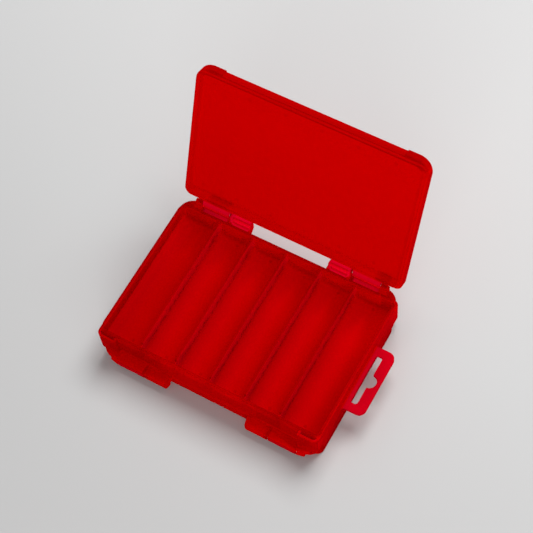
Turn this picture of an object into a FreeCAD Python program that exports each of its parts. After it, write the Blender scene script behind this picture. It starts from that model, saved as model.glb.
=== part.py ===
import FreeCAD, Part
import math
import os

Vector = FreeCAD.Vector

# Two-sided lure box in millimetres: a tray with six troughs on each face and a lid on each face.
# The origin is the centre of the underside, +Z is up, X runs along the box and the hinges of the
# open upper lid are at +Y.

# Driving sizes of the box
length = 160.0
depth = 105.0
body_height = 25.0
lid_height = 6.5
wall = 1.6
corner_radius = 6.0

# Troughs
trough_count = 6
trough_pitch = 25.2
divider_top = 1.2
divider_draft = 0.45
floor_thickness = 1.6
floor_sag = 2.0
divider_set_down = 0.4
ledge_width = 3.2
ledge_depth = 2.6

# Upright ribs on the trough sides
rib_pitch = 5.6
rib_count = 13
rib_width = 1.3
rib_height = 0.45

# Lids
plate = 1.6
skirt = 3.1
lip_set_in = 1.85
lip_drop = 2.0
seat_gap = 0.1
free_corner_radius = 10.0
hinge_corner_radius = 5.0
finger_recess = 1.0
finger_recess_half_length = 62.0
lid_edge_round = 1.2
snap_half_length = 28.0
snap_drop = 1.2
snap_height = 0.45
snap_groove_depth = 0.6

# Hinges
axis_offset = 4.7
axis_rise = 2.3
barrel_radius = 2.4
pin_radius = 1.0
running_clearance = 0.06
inner_knuckle = (28.0, 45.0)
lid_knuckle = (46.0, 65.5)
outer_lug = (66.2, 71.5)
lug_tip_radius = 1.3
knuckle_web = 2.2
knuckle_taper = 1.6
apron_drop = 4.0
apron_thickness = 1.6
opening_angle = 110.3

# Corner columns, which carry the outer ends of the hinge pins
shoulder_reach = 5.6
shoulder_radius = 10.3
shoulder_height = 8.0
column_reach = 3.7
column_radius = 4.0
column_wall = 1.5
column_set_back = 0.9

# Hang tab
tab_length = 47.0
tab_reach = 14.5
tab_thickness = 2.4
tab_corner = 5.0
slot_length = 36.0
slot_inset = 3.0
slot_width = 4.5
slot_end_radius = 1.6
slot_hump_radius = 4.8

# Heights and places that follow from the sizes above
bottom_rim = lid_height
top_rim = lid_height + body_height
middle = lid_height + body_height / 2.0
top = top_rim + lid_height
back = depth / 2.0
side = length / 2.0
axis_y = back + axis_offset
axis_z = top_rim + axis_rise


def face_from(edges):
    return Part.Face(Part.Wire(Part.__sortEdges__(edges)))


def polygon_face(points):
    closed = points + [points[0]]
    return Part.Face(Part.makePolygon([Vector(*point) for point in closed]))


def rounded_plan(half_x, half_y, front_radius, back_radius, low, high):
    """Upright prism on a rectangle whose front and back corners have their own radii."""
    corners = (
        (half_x, -half_y, front_radius, 270),
        (half_x, half_y, back_radius, 0),
        (-half_x, half_y, back_radius, 90),
        (-half_x, -half_y, front_radius, 180),
    )
    edges = []
    starts = []
    ends = []
    for x, y, radius, start_angle in corners:
        centre = Vector(x - math.copysign(radius, x), y - math.copysign(radius, y), low)
        points = []
        for angle in (start_angle, start_angle + 45, start_angle + 90):
            turn = math.radians(angle)
            points.append(centre + Vector(radius * math.cos(turn), radius * math.sin(turn), 0))
        edges.append(Part.Arc(*points).toShape())
        starts.append(points[0])
        ends.append(points[2])
    for index in range(4):
        edges.append(Part.makeLine(ends[index], starts[(index + 1) % 4]))
    return face_from(edges).extrude(Vector(0, 0, high - low))


def block(x_low, x_high, y_low, y_high, z_low, z_high):
    size = (x_high - x_low, y_high - y_low, z_high - z_low)
    return Part.makeBox(*size, Vector(x_low, y_low, z_low))


def rod_along_x(radius, x_low, x_high, y, z):
    return Part.makeCylinder(radius, x_high - x_low, Vector(x_low, y, z), Vector(1, 0, 0))


def turned_over(shape):
    """The same shape on the other face: half a turn about the long axis through the middle."""
    copy = shape.copy()
    copy.rotate(Vector(0, 0, middle), Vector(1, 0, 0), 180)
    return copy


def mirrored(shape):
    return shape.mirror(Vector(0, 0, 0), Vector(1, 0, 0))


def wedge(near, far, tip, peak):
    """Rib that is deepest at its foot and runs out to nothing at its peak."""
    sides = []
    for corners in ((near, far, tip), (near, far, peak), (far, tip, peak), (tip, near, peak)):
        sides.append(Part.Face(Part.makePolygon(list(corners) + [corners[0]])))
    return Part.Solid(Part.Shell(sides))


def trough(index):
    """Space of one upper trough: drafted sides, a floor that sags to its middle, ribbed sides."""
    centre = (index - (trough_count - 1) / 2.0) * trough_pitch
    reach = trough_pitch / 2.0 - divider_top / 2.0
    left = centre - reach
    right = centre + reach
    if index == 0:
        left = -side + wall
    if index == trough_count - 1:
        right = side - wall
    half_depth = back - wall
    floor = middle + floor_thickness / 2.0
    foot = floor + floor_sag
    above = top_rim + 1.0
    low_left = Vector(left + divider_draft, -half_depth, foot)
    low_right = Vector(right - divider_draft, -half_depth, foot)
    lowest = Vector((left + right) / 2.0, -half_depth, floor)
    profile = face_from([
        Part.Arc(low_left, lowest, low_right).toShape(),
        Part.makeLine(low_right, Vector(right, -half_depth, above)),
        Part.makeLine(Vector(right, -half_depth, above), Vector(left, -half_depth, above)),
        Part.makeLine(Vector(left, -half_depth, above), low_left),
    ])
    space = profile.extrude(Vector(0, 2 * half_depth, 0))
    rib_foot = foot + 0.4
    rib_top = top_rim - ledge_depth - 0.4
    ribs = []
    for number in range(rib_count):
        y = (number - (rib_count - 1) / 2.0) * rib_pitch
        for edge, inward in ((left, 1), (right, -1)):
            base = edge - inward * 0.5
            half = rib_width / 2.0
            near = Vector(base, y - half, rib_foot)
            far = Vector(base, y + half, rib_foot)
            tip = Vector(edge + inward * (divider_draft + rib_height), y, rib_foot)
            peak = Vector(edge, y, rib_top)
            ribs.append(wedge(near, far, tip, peak))
    return space.cut(Part.makeCompound(ribs))


def lip_channel():
    """Step round the top of the tray that takes the lid's inner lip, and the dividers' lower tops."""
    half_x = side - wall
    half_y = back - wall
    radius = corner_radius - wall
    high = top_rim + 1.0
    ring = rounded_plan(half_x, half_y, radius, radius, top_rim - ledge_depth, high)
    island = block(-half_x - 1, half_x + 1, -half_y + ledge_width, half_y - ledge_width,
                   top_rim - ledge_depth - 1, high + 1)
    set_down = rounded_plan(half_x, half_y, radius, radius, top_rim - divider_set_down, high)
    return ring.cut(island).fuse(set_down)


def snap_ridge(y, reach, half_length):
    """Diamond bar along X whose one half stands out of a wall by reach."""
    z = top_rim - snap_drop
    section = polygon_face([
        (-half_length, y - reach, z),
        (-half_length, y, z - reach * 1.2),
        (-half_length, y + reach, z),
        (-half_length, y, z + reach * 1.2),
    ])
    return section.extrude(Vector(2 * half_length, 0, 0))


def knuckle_arm(x_low, x_high, reach):
    """Slab between two X values that joins the wall to the pin, down to the apron."""
    profile = polygon_face([
        (x_low, back - 0.8, top_rim - 0.9),
        (x_low, axis_y - barrel_radius * 0.95, axis_z - 0.8),
        (x_low, axis_y, axis_z),
        (x_low, axis_y + reach, axis_z - 0.8),
        (x_low, axis_y + reach, top_rim - apron_drop + 0.6),
        (x_low, back - 0.8, top_rim - apron_drop),
    ])
    return profile.extrude(Vector(x_high - x_low, 0, 0))


def corner_column():
    """Cored column at the right back corner, with the rounder shoulder of the hinge on its top."""
    x_low = outer_lug[0]
    low = bottom_rim + column_set_back
    high = top_rim - column_set_back
    step = high - shoulder_height
    quarter = block(x_low, side + 1, back - 2.0 * column_radius, axis_y + 10, low, high)
    shaft = rounded_plan(side, back + column_reach, column_radius, column_radius, low, step + 1.0)
    core = rounded_plan(side - column_wall, back + column_reach - column_wall, column_radius - column_wall,
                        column_radius - column_wall, low - 1.0, step - column_wall)
    core = core.common(block(x_low + column_wall, side, back - 0.1, axis_y, low - 1.0, step))
    shoulder = rounded_plan(side, back + shoulder_reach, shoulder_radius, shoulder_radius, step, high)
    slope = polygon_face([
        (x_low - 1, back + column_reach - 0.6, step - 0.1),
        (x_low - 1, back + shoulder_reach + 1, step - 0.1),
        (x_low - 1, back + shoulder_reach + 1, step + 3.0),
    ]).extrude(Vector(side, 0, 0))
    return shaft.cut(core).fuse(shoulder.cut(slope)).common(quarter)


def body_hinge_station():
    """Right-hand upper station: an inner knuckle, an apron under the lid's knuckle, a lug and a column."""
    low, high = inner_knuckle
    outer_y = axis_y + barrel_radius
    barrel = rod_along_x(barrel_radius, low, high, axis_y, axis_z)
    webs = []
    for x_low in (low, high - knuckle_web):
        webs.append(knuckle_arm(x_low, x_low + knuckle_web, barrel_radius))
    apron = block(low, outer_lug[0] + 0.5, back - 0.8, outer_y, top_rim - apron_drop,
                  top_rim - apron_drop + apron_thickness)
    inner = barrel.fuse(webs).fuse(apron)
    end = polygon_face([
        (low - 1, back, top_rim - 20),
        (low, back, top_rim - 20),
        (low + knuckle_taper, outer_y + 0.1, top_rim - 20),
        (low - 1, outer_y + 0.1, top_rim - 20),
    ]).extrude(Vector(0, 0, 40))
    inner = inner.cut(end)
    low, high = outer_lug
    tip = Part.makeCone(barrel_radius, lug_tip_radius, high - low, Vector(low, axis_y, axis_z), Vector(1, 0, 0))
    arm = knuckle_arm(low, high, lug_tip_radius - 0.4)
    station = inner.fuse([tip, arm, corner_column()])
    bore = rod_along_x(pin_radius, inner_knuckle[0] - 1, outer_lug[1] - 1.7, axis_y, axis_z)
    return station.cut(bore)


def hang_tab():
    """Plate on the right end with a long slot and a round hump at its middle."""
    half = tab_length / 2.0
    low = middle - tab_thickness / 2.0
    plate_plan = block(side - wall / 2.0, side + tab_reach, -half, half, low, low + tab_thickness)
    outer_edges = []
    for edge in plate_plan.Edges:
        points = [vertex.Point for vertex in edge.Vertexes]
        upright = abs(points[0].z - points[1].z) > tab_thickness / 2.0
        if upright and points[0].x > side + tab_reach / 2.0:
            outer_edges.append(edge)
    tab = plate_plan.makeFillet(tab_corner, outer_edges)
    x_low = side + slot_inset
    slot_half = slot_length / 2.0
    slot = block(x_low, x_low + slot_width, -slot_half, slot_half, low - 1, low + tab_thickness + 1)
    upright_edges = []
    for edge in slot.Edges:
        points = [vertex.Point for vertex in edge.Vertexes]
        if abs(points[0].z - points[1].z) > tab_thickness:
            upright_edges.append(edge)
    slot = slot.makeFillet(slot_end_radius, upright_edges)
    hump = Part.makeCylinder(slot_hump_radius, tab_thickness + 2, Vector(x_low + slot_width - 0.4, 0, low - 1))
    hump = hump.common(block(x_low + 0.5, side + tab_reach, -half, half, low - 2, low + tab_thickness + 2))
    return tab.cut(slot.fuse(hump))


def body():
    shell = rounded_plan(side, back, corner_radius, corner_radius, bottom_rim, top_rim)
    spaces = [trough(index) for index in range(trough_count)]
    spaces.append(lip_channel())
    spaces.append(snap_ridge(-back + wall, snap_groove_depth, snap_half_length + 0.5))
    station = body_hinge_station()
    upper_stations = [station, mirrored(station)]
    for space in list(spaces):
        spaces.append(turned_over(space))
    stations = upper_stations + [turned_over(item) for item in upper_stations]
    hollow = shell.fuse(stations).cut(spaces)
    return hollow.fuse(hang_tab()).removeSplitter()


def lid_outline(low, high):
    """Lid prism with round free corners and the shallow finger recess in its free edge."""
    prism = rounded_plan(side, back, free_corner_radius, hinge_corner_radius, low, high)
    front = -back
    recess = polygon_face([
        (-finger_recess_half_length - 0.8, front - 1, low - 1),
        (finger_recess_half_length + 0.8, front - 1, low - 1),
        (finger_recess_half_length, front + finger_recess, low - 1),
        (-finger_recess_half_length, front + finger_recess, low - 1),
    ]).extrude(Vector(0, 0, high - low + 2))
    return prism.cut(recess)


def lid_knuckle_block():
    low, high = lid_knuckle
    arm = polygon_face([
        (low, back - 1.0, top_rim + 0.3),
        (low, axis_y, axis_z - barrel_radius),
        (low, axis_y, axis_z + barrel_radius),
        (low, back - 1.0, top_rim + lid_height - 0.7),
    ]).extrude(Vector(high - low, 0, 0))
    barrel = rod_along_x(barrel_radius, low, high, axis_y, axis_z)
    bore = rod_along_x(pin_radius + running_clearance, low - 1, high + 1, axis_y, axis_z)
    return arm.fuse(barrel).cut(bore)


def closed_lid():
    """The lid shut on the body's top rim."""
    low = top_rim + seat_gap
    lid = lid_outline(low, top)
    top_edges = []
    for edge in lid.Edges:
        if all(abs(vertex.Point.z - top) < 0.001 for vertex in edge.Vertexes):
            top_edges.append(edge)
    lid = lid.makeFillet(lid_edge_round, top_edges)
    lip_radius = corner_radius - lip_set_in
    lip = rounded_plan(side - lip_set_in, back - lip_set_in, lip_radius, lip_radius, top_rim - lip_drop, low + 1.0)
    within_free_corners = lid_outline(top_rim - lip_drop, low + 1.0)
    lip = lip.common(within_free_corners)
    room = rounded_plan(side - skirt, back - skirt, free_corner_radius - skirt, hinge_corner_radius - 2.0,
                        top_rim - lip_drop - 1.0, top - plate)
    bead = snap_ridge(-back + lip_set_in, snap_height, snap_half_length)
    knuckle = lid_knuckle_block()
    return lid.fuse([lip, bead, knuckle, mirrored(knuckle)]).cut(room).removeSplitter()


def hinge_pin():
    """Straight pin of the right-hand upper hinge, chamfered at the end that is pushed in first."""
    low = inner_knuckle[0] + knuckle_taper + 0.4
    high = outer_lug[1] - 1.9
    pin = rod_along_x(pin_radius, low, high, axis_y, axis_z)
    first_end = [edge for edge in pin.Edges if abs(edge.CenterOfMass.x - high) < 0.01]
    return pin.makeChamfer(0.2, first_end)


def write(name, shape):
    if not shape.isValid():
        raise ValueError(name + " is not a valid solid")
    solids = shape.Solids
    print(name, "solids", len(solids), "volume", round(shape.Volume, 1))
    solids[0].exportStep(os.path.join("parts", name + ".step"))


os.makedirs("parts", exist_ok=True)

lid = closed_lid()
upper_lid = lid.copy()
upper_lid.rotate(Vector(0, axis_y, axis_z), Vector(1, 0, 0), -opening_angle)
pin = hinge_pin()

write("body", body())
write("upper_lid", upper_lid)
write("lower_lid", turned_over(lid))
write("hinge_pin_upper_right", pin)
write("hinge_pin_upper_left", mirrored(pin))
write("hinge_pin_lower_right", turned_over(pin))
write("hinge_pin_lower_left", turned_over(mirrored(pin)))
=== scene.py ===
import bpy
import bmesh
import math
from mathutils import Matrix, Vector


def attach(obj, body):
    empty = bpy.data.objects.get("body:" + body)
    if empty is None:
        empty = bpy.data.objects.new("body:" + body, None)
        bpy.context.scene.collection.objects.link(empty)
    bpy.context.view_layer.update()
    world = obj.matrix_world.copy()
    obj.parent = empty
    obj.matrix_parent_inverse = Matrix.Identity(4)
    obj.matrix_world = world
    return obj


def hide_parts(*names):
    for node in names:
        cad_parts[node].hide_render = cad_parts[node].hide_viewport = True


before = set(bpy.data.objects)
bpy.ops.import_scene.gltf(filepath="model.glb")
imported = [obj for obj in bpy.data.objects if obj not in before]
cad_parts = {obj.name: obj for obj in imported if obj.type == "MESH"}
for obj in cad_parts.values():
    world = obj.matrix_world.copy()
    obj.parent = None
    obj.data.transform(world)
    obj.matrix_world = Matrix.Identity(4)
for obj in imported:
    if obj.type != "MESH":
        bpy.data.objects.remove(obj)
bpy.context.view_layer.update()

# Tray. The body of the box is one injection moulding in a deep red tinted clear plastic, with six
# troughs on each face, thin dividers between them, cored columns at the hinge corners and a hang
# tab on one end. Its edges are a little rounded, and ejector pins have left small marks in it.
trough_pitch = 25.2
tray_side = 80.0
tray_back = 52.5
tray_middle = 19.0


class Socket:
    """A shader socket that takes part in Python sums."""

    def __init__(self, tree, socket):
        self.tree = tree
        self.socket = socket

    def node(self, kind, settings=None, **inputs):
        made = self.tree.nodes.new(kind)
        for name, setting in (settings or {}).items():
            setattr(made, name, setting)
        for name, value in inputs.items():
            key = int(name[1:]) if name[0] == "i" and name[1:].isdigit() else name.replace("_", " ")
            if isinstance(value, Socket):
                self.tree.links.new(value.socket, made.inputs[key])
            else:
                made.inputs[key].default_value = value
        return made

    def out(self, made, name=0):
        return Socket(self.tree, made.outputs[name])

    def sum(self, operation, first, second=0.0, third=0.0):
        return self.out(self.node("ShaderNodeMath", {"operation": operation}, i0=first, i1=second, i2=third))

    def __add__(self, other):
        return self.sum("ADD", self, other)

    __radd__ = __add__

    def __mul__(self, other):
        return self.sum("MULTIPLY", self, other)

    __rmul__ = __mul__

    def __sub__(self, other):
        return self.sum("SUBTRACT", self, other)

    def __rsub__(self, other):
        return self.sum("SUBTRACT", other, self)

    def __abs__(self):
        return self.sum("ABSOLUTE", self)


def rise(value, start, end):
    """0 before start and 1 past end, with a smooth way between. It falls where end is the lower."""
    made = value.node("ShaderNodeMapRange", {"interpolation_type": "SMOOTHSTEP"},
                      Value=value, From_Min=start, From_Max=end)
    return value.out(made)


def patch(value, low, high, soft):
    """1 between low and high, with soft edges."""
    return rise(value, low - soft, low + soft) * rise(value, high + soft, high - soft)


def grain(place, scale, detail, stretch=(1, 1, 1)):
    """Unevenness of about scale cycles a millimetre, drawn out along the axes where stretch is small."""
    spread = place.node("ShaderNodeVectorMath", {"operation": "MULTIPLY"}, i0=place, i1=stretch)
    made = place.node("ShaderNodeTexNoise", Vector=place.out(spread), Scale=scale, Detail=detail, Roughness=0.55)
    return place.out(made)


def in_millimetres(material, turn=0.0, centre=(0, 0, 0)):
    """Object coordinates in millimetres, turned about X round centre."""
    tree = material.node_tree
    start = Socket(tree, tree.nodes.new("ShaderNodeTexCoord").outputs["Object"])
    home = Vector(centre) - Matrix.Rotation(turn, 3, "X") @ Vector(centre)
    made = start.node("ShaderNodeMapping", Vector=start, Scale=(1000, 1000, 1000), Rotation=(turn, 0, 0),
                      Location=tuple(home))
    return start.out(made)


def split(place):
    made = place.node("ShaderNodeSeparateXYZ", Vector=place)
    return [place.out(made, axis) for axis in range(3)]


def pin_marks(across, inward, reach):
    """1 inside round marks of that reach, from the two distances to their centres."""
    flat = across.node("ShaderNodeCombineXYZ", X=across, Y=inward)
    span = across.node("ShaderNodeVectorMath", {"operation": "LENGTH"}, i0=across.out(flat))
    return rise(across.out(span, "Value"), reach + 0.25, reach - 0.25)


def finish_plastic(material, place, tone, glow_mask, marks):
    """Tinted clear plastic lit from behind: deeper red where tone is low, lighter where it is high, and pinker with a
    painted glow where glow_mask is high.
    """
    tree = material.node_tree
    output = tree.nodes["Material Output"]
    flow = grain(place, 0.05, 3, (1, 0.35, 1))
    scuffs = grain(place, 1.6, 2, (1, 0.06, 0.3))
    speckle = grain(place, 3.0, 1)
    tone = tone + (flow - 0.5) * 0.04 + (speckle - 0.5) * 0.012
    deep = place.node("ShaderNodeMix", {"data_type": "RGBA"}, i0=tone, i6=(0.30, 0.0, 0.0, 1), i7=(0.98, 0.0, 0.0, 1))
    red = place.node("ShaderNodeMix", {"data_type": "RGBA"}, i0=glow_mask, i6=place.out(deep, 2), i7=(0.95, 0.0, 0.022, 1))
    red = place.out(red, 2)
    uneven = flow * 0.5 + scuffs * 0.35 + speckle * 0.1 - marks * 0.6
    bump = place.node("ShaderNodeBump", Strength=0.18, Distance=0.00006, Height=uneven)
    shader = tree.nodes["Principled BSDF"]
    shader.inputs["Specular IOR Level"].default_value = 0
    shader.inputs["Emission Strength"].default_value = 1
    # Painted glow: the emission makes the plastic glow faintly red all over, and brighter and pinker where glow_mask is
    # high.
    painted_glow = place.node("ShaderNodeMix", {"data_type": "RGBA"}, i0=glow_mask, i6=(0.04, 0.0, 0.0, 1), i7=(0.60, 0.0, 0.045, 1))
    tree.links.new(red.socket, shader.inputs["Base Color"])
    tree.links.new(painted_glow.outputs[2], shader.inputs["Emission Color"])
    tree.links.new(bump.outputs[0], shader.inputs["Normal"])
    sheen = place.node("ShaderNodeBsdfAnisotropic", Color=(1.0, 0.0, 0.02, 1), Normal=place.out(bump),
                       Roughness=0.30 + (scuffs - 0.5) * 0.25 + marks * 0.15)
    edge_on = place.node("ShaderNodeFresnel", IOR=1.25)
    lit_through = place.node("ShaderNodeBsdfTranslucent", Color=red, Normal=place.out(bump))
    seen_through = place.node("ShaderNodeBsdfTransparent", Color=(0.97, 0.0, 0.0, 1))
    skin = place.node("ShaderNodeMixShader", Fac=0.25, i1=Socket(tree, shader.outputs[0]), i2=place.out(lit_through))
    glossy = place.node("ShaderNodeMixShader", Fac=place.out(edge_on), i1=place.out(skin), i2=place.out(sheen))
    casting = Socket(tree, tree.nodes.new("ShaderNodeLightPath").outputs["Is Shadow Ray"])
    wall = place.node("ShaderNodeMixShader", Fac=0.45 - casting * 0.4, i1=place.out(glossy), i2=place.out(seen_through))
    tree.links.new(wall.outputs[0], output.inputs["Surface"])


def merged_copy(node, name):
    """The CAD node's triangles joined up, with its flat faces made whole."""
    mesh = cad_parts[node].data.copy()
    mesh.name = name
    mesh.materials.clear()
    work = bmesh.new()
    work.from_mesh(mesh)
    bmesh.ops.remove_doubles(work, verts=work.verts, dist=0.000002)
    bmesh.ops.dissolve_limit(work, angle_limit=math.radians(0.6), verts=work.verts, edges=work.edges)
    return mesh, work


def soften(work, wanted, width):
    """Rounds the sharp edges that wanted picks by their two ends in millimetres."""
    sharp = []
    for edge in work.edges:
        if len(edge.link_faces) == 2 and edge.calc_face_angle(0) > math.radians(35):
            if wanted(*[vert.co * 1000 for vert in edge.verts]):
                sharp.append(edge)
    bmesh.ops.bevel(work, geom=sharp, offset=width / 1000, offset_type="OFFSET", segments=2, profile=0.5,
                    affect="EDGES", clamp_overlap=True, material=-1)


def piece_from(mesh, work, body, material, node):
    work.to_mesh(mesh)
    work.free()
    mesh.materials.append(material)
    for face in mesh.polygons:
        face.use_smooth = True
    mesh.set_sharp_from_angle(angle=math.radians(32))
    piece = bpy.data.objects.new(mesh.name, mesh)
    bpy.context.collection.objects.link(piece)
    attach(piece, body)
    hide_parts(node)


def tray_edge(first, last):
    """Rims, divider tops, the hang tab and the long edges of the hinge stations."""
    on_rims = all(abs(abs(end.z - tray_middle) - 12.3) < 0.25 for end in (first, last))
    on_tab = min(first.x, last.x) > tray_side + 0.5
    on_stations = min(abs(first.y), abs(last.y)) > tray_back + 0.5 and (first - last).length > 3.0
    return on_rims or on_tab or on_stations


tray_plastic = bpy.data.materials.new("tray_plastic")
tray_plastic.use_nodes = True
tray_place = in_millimetres(tray_plastic)
x, y, z = split(tray_place)
height = abs(z - tray_middle)
inside = rise(abs(y), tray_back - 1.0, tray_back - 2.4)
within_ends = rise(abs(x), tray_side - 0.9, tray_side - 1.5)
# Painted light: a pale band down each trough floor, narrowed towards the back by painted shade where the open lid's
# shadow falls, and weaker in the leftmost trough.
down_trough = x.sum("WRAP", x - 13.2, 12.6, -12.6)
back_shade_arch = rise(y, 16, 46) * 9
on_floor = inside * rise(height, 11.5, 8) * within_ends
trough_painted_light = rise(abs(down_trough) + back_shade_arch, 11.4, 1) * on_floor
left_trough_less_light = rise(x, -49, -52)
front = rise(y, -tray_back + 2.0, -tray_back + 1.2)
# Painted shade in patches on the front wall over the hinge stations, and painted light in two bands across it.
front_painted_shade = patch(x, -83, -34, 1.5) + patch(x, 35, 52, 1.5) * 1.1 + patch(x, 54, 76, 1.5) * 0.4
front_painted_shade = front * front_painted_shade * patch(z, 14, 33, 2.0)
front_painted_light = front * (patch(z, 6.5, 9, 0.5) * 0.10 + patch(z, 25, 28, 1.5) * patch(x, -28, 28, 2) * 0.06)
# Painted shade on the rim and inner wall behind the hinge stations.
shade_behind_hinges = patch(y, 48, 53.5, 1.5) * patch(abs(x), 26, 68, 3) * rise(height, 6, 9)
lip_shade = patch(y, -51.4, -49.2, 0.5) * rise(height, 8, 10)
stations = rise(abs(y), tray_back + 0.4, tray_back + 1.2)
inner_knuckles = rise(y, tray_back + 0.6, tray_back + 1.6) * patch(abs(x), 29.6, 44.0, 1.0) * rise(height, 8.1, 8.6)
# Painted shade in the slots between the knuckles.
knuckle_gap_shade = stations * patch(abs(x), 44.7, 46.6, 0.2)
knuckle_bars = patch(y, 54.9, 56.3, 0.3) * patch(abs(x), 30, 43, 0.5)
under_knuckles = patch(y, 53.0, 56.0, 0.4) * patch(abs(x), 47, 65, 0.8) * rise(height, 8.1, 8.6)
cores = patch(abs(x), 67.5, 78.5, 0.2) * patch(y, -54.8, -52.55, 0.1) * rise(z, 16, 28)
on_tab = rise(x, tray_side + 0.4, tray_side + 1.2)
from_divider = x.sum("WRAP", x, 12.6, -12.6)
# Painted light on the divider faces and the left wall face that look towards +X, which the lamps leave dark; these also
# take some painted glow.
right_faces_light = (patch(from_divider, 0.5, 1.05, 0.1) * rise(x, -74, -72) + patch(x, -78.8, -78.3, 0.04)) * inside * rise(height, 12.2, 11.6)
# Painted light on the lower part of the front wall.
lower_front_light = front * rise(z, 14, 11)
# Painted shade on the floor beside the feet of the dividers and of the left wall.
divider_foot_shade = patch(from_divider, 1.4, 4.5, 0.6) * on_floor
left_foot_shade = patch(x, -78.3, -75.6, 0.5) * on_floor
# Painted glow and a pinker red: on the inner knuckles except along their bars, under the lid's knuckles, on the hang
# tab, the cored columns and the +X faces.
tray_glow = inner_knuckles * (0.76 - knuckle_bars * 0.55) + under_knuckles * 0.4 + on_tab * 0.28 + cores * 0.12 + right_faces_light * 0.10
near_ends = abs(abs(y) - 45.5)
beside_dividers = x.sum("WRAP", x + 9.6, 12.6, -12.6)
tray_marks = pin_marks(beside_dividers, near_ends, 1.1) * rise(height, 11, 9) * inside
# Painted shade on the rims and the divider tops.
tops = rise(height, 11.9, 12.1) * rise(abs(y), tray_back + 0.6, tray_back + 0.1)
# Painted shade along the left edge of the tray.
left_edge_shade = rise(x, -tray_side + 1.2, -tray_side + 0.5)
# Painted light on the right wall, stronger towards the front.
right_wall_light = patch(x, tray_side - 0.3, tray_side + 0.3, 0.1)
# Painted light on the front wall between the hinge stations.
middle_front_light = front * patch(x, -30, 30, 3)
# Painted shade on the hinge apron plates under the knuckles.
apron_shade = stations * rise(height, 10.4, 10.2)
# Painted light and shade on the trough floors: the pale bands, lighter towards the back, darker towards the front and
# the right, and shaded at the feet.
floor_light_and_shade = trough_painted_light * 0.25 - left_trough_less_light * trough_painted_light * 0.10 + rise(y, -5, 40) * on_floor * 0.20 - on_floor * (rise(x, 30, 76) * 0.05 + rise(y, 25, -30) * 0.12 + 0.07) - divider_foot_shade * 0.04 - left_foot_shade * 0.10
# The tray's tone: its red with the painted light and shade above, darker ejector marks, and the hang tab darker against
# its painted glow.
tray_tone = 0.56 + floor_light_and_shade - front_painted_shade * 0.22 + front_painted_light
tray_tone = tray_tone - shade_behind_hinges * 0.06 - lip_shade * (0.15 + patch(x, -30, 30, 3) * 0.2) - tray_marks * 0.2 - tops * 0.42 - knuckle_gap_shade * 0.4
tray_tone = tray_tone + right_faces_light * 0.80 - left_edge_shade * 0.60 - apron_shade * 0.04 + right_wall_light * (0.42 + rise(y, -8, -30) * 0.25) + middle_front_light * 0.13 - on_tab * 0.50 + lower_front_light * (0.30 + rise(x, 30, 36) * 0.16)
finish_plastic(tray_plastic, tray_place, tray_tone, tray_glow, tray_marks)
tray_mesh, tray_work = merged_copy("body", "tray")
soften(tray_work, tray_edge, 0.25)
piece_from(tray_mesh, tray_work, "case", tray_plastic, "body")

# Hinge pins. Four straight pins of drawn stainless wire, pushed in from the inner knuckle through
# the lid's knuckle into the outer lug. Drawing leaves fine lines along them.
wire = bpy.data.materials.new("drawn_wire")
wire.use_nodes = True
wire_place = in_millimetres(wire)
drawn = grain(wire_place, 4.0, 2, (0.04, 1, 1))
dulled = grain(wire_place, 0.4, 2)
wire_shader = wire.node_tree.nodes["Principled BSDF"]
wire_shader.inputs["Metallic"].default_value = 1
wire_colour = wire_place.node("ShaderNodeMix", {"data_type": "RGBA"}, i0=dulled, i6=(0.42, 0.41, 0.40, 1),
                              i7=(0.66, 0.65, 0.63, 1))
wire.node_tree.links.new(wire_colour.outputs[2], wire_shader.inputs["Base Color"])
wire.node_tree.links.new((0.22 + drawn * 0.2).socket, wire_shader.inputs["Roughness"])
wire_bump = wire_place.node("ShaderNodeBump", Strength=0.3, Distance=0.00003, Height=drawn)
wire.node_tree.links.new(wire_bump.outputs[0], wire_shader.inputs["Normal"])
for name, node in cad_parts.items():
    if name.startswith("hinge_pin"):
        node.data.materials.clear()
        node.data.materials.append(wire)

# Lids. The two lids are the same moulding in the same plastic, with a skirt all round, an inner lip,
# a shallow finger recess in the free edge and twelve ejector marks in two rows on the inside.
hinge_axis = (0.0, 57.2, 33.8)
opening = math.radians(110.3)


def dress_lid(body, turn, centre, knuckle_glow):
    """Finish for one lid, painted in the place that the upper lid has when it is shut."""
    plastic = bpy.data.materials.new(body + "_plastic")
    plastic.use_nodes = True
    place = in_millimetres(plastic, turn, centre)
    x, y, z = split(place)
    across = x.sum("WRAP", x - 12.6 + 6.2, 12.6, -12.6)
    in_plate = rise(z, 34.5, 36.0) * patch(y, -48, 50, 1.0)
    marks = (pin_marks(across, y + 39.0, 1.3) + pin_marks(across, y - 44.5, 1.3)) * in_plate
    knuckles = rise(y, 52.8, 54.0)
    bars = patch(y, 56.4, 58.8, 0.4) * knuckles
    skirt_sides = rise(abs(x), 76.0, 77.2) * rise(y, -46, -40)
    # Painted light on the hinge-side wall and painted shade along the outer edges.
    hinge_wall_light = patch(y, 51.9, 52.7, 0.15)
    outer_edge_shade = rise(abs(x), 79.2, 79.8) + rise(y, -51.6, -52.2) * 0.4
    # Painted light and shade on the lid: lighter towards the free edge, a dark band just inside it, a little lighter at
    # the skirt sides, shade in patches beside the hinges; the ejector marks are darker.
    tone = 0.64 + rise(y, 20, -30) * 0.08 - rise(y, -46.5, -49.0) * 0.50 - marks * 0.15 + skirt_sides * 0.08
    tone = tone - patch(y, 49.0, 53.0, 0.7) * (patch(x, -62, -46, 2) + patch(x, 62, 71, 2)) * 0.4 - outer_edge_shade * 0.4 + hinge_wall_light * 0.3
    # The knuckles take a painted glow, less along their bars.
    finish_plastic(plastic, place, tone, knuckles * (knuckle_glow - bars * 0.28), marks)
    mesh, work = merged_copy(body, body + "_shell")
    soften(work, lambda first, last: (first - last).length > 1.0, 0.2)
    piece_from(mesh, work, body, plastic, body)


dress_lid("upper_lid", opening, hinge_axis, 0.46)
dress_lid("lower_lid", math.pi, (0, 0, tray_middle), 0.12)
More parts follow.
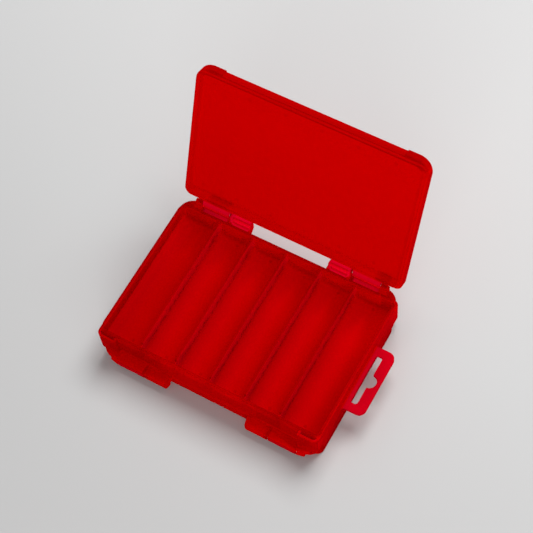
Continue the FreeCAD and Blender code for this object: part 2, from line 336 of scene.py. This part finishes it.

# Floor and light. A pale sheet, painted lighter towards the back as painted light, with soft light from all round,
# one large lamp above and behind, so that the shadow falls in front of the box, and a weaker one in front.
floor_work = bmesh.new()
bmesh.ops.create_grid(floor_work, x_segments=4, y_segments=4, size=3)
floor_mesh = bpy.data.meshes.new("floor")
floor_work.to_mesh(floor_mesh)
floor_work.free()
floor = bpy.data.objects.new("floor", floor_mesh)
bpy.context.collection.objects.link(floor)
paper = bpy.data.materials.new("floor_paper")
paper.use_nodes = True
paper_place = in_millimetres(paper)
paper_shader = paper.node_tree.nodes["Principled BSDF"]
paper_shader.inputs["Roughness"].default_value = 0.9
paper_shader.inputs["Specular IOR Level"].default_value = 0.1
paper_x, paper_y, paper_z = split(paper_place)
painted_falloff = rise(paper_x * 0.16 + paper_y * 0.98, -230, 230)
paper_colour = paper_place.node("ShaderNodeMix", {"data_type": "RGBA"}, i0=painted_falloff, i6=(0.43, 0.43, 0.43, 1),
                                i7=(0.505, 0.505, 0.505, 1))
paper.node_tree.links.new(paper_colour.outputs[2], paper_shader.inputs["Base Color"])
floor.data.materials.append(paper)

world = bpy.data.worlds.new("studio")
bpy.context.scene.world = world
world.use_nodes = True
world.node_tree.nodes["Background"].inputs["Color"].default_value = (1, 1, 1, 1)
world.node_tree.nodes["Background"].inputs["Strength"].default_value = 0.33


def softbox(name, place, aim, size, power):
    light = bpy.data.lights.new(name, "AREA")
    light.size = size
    light.energy = power
    lamp = bpy.data.objects.new(name, light)
    bpy.context.collection.objects.link(lamp)
    lamp.location = place
    lamp.rotation_euler = (Vector(aim) - Vector(place)).to_track_quat("-Z", "Y").to_euler()
    return lamp


softbox("key_softbox", (0.12, 0.78, 1.40), (0, 0, 0), 1.0, 30)
softbox("fill_softbox", (0.45, -1.15, 0.5), (0, 0.05, 0.05), 0.8, 9)

# Camera. It looks down at the box from its front right corner.
azimuth = math.radians(36.053)
elevation = math.radians(61.927)
roll = math.radians(7.573)
camera_place = Vector((0.26638, -0.33805, 0.90858))
ahead = Vector((-math.sin(azimuth) * math.cos(elevation), math.cos(azimuth) * math.cos(elevation), -math.sin(elevation)))
level = Vector((math.cos(azimuth), math.sin(azimuth), 0))
down = ahead.cross(level)
right = level * math.cos(roll) + down * math.sin(roll)
up = level * math.sin(roll) - down * math.cos(roll)
view = bpy.data.cameras.new("view")
view.lens = 103.52
view.sensor_width = 36
view.shift_y = -0.0122
camera = bpy.data.objects.new("camera", view)
bpy.context.collection.objects.link(camera)
camera.matrix_world = Matrix.Translation(camera_place) @ Matrix((right, up, -ahead)).transposed().to_4x4()
bpy.context.scene.camera = camera
bpy.context.scene.view_settings.view_transform = "Standard"
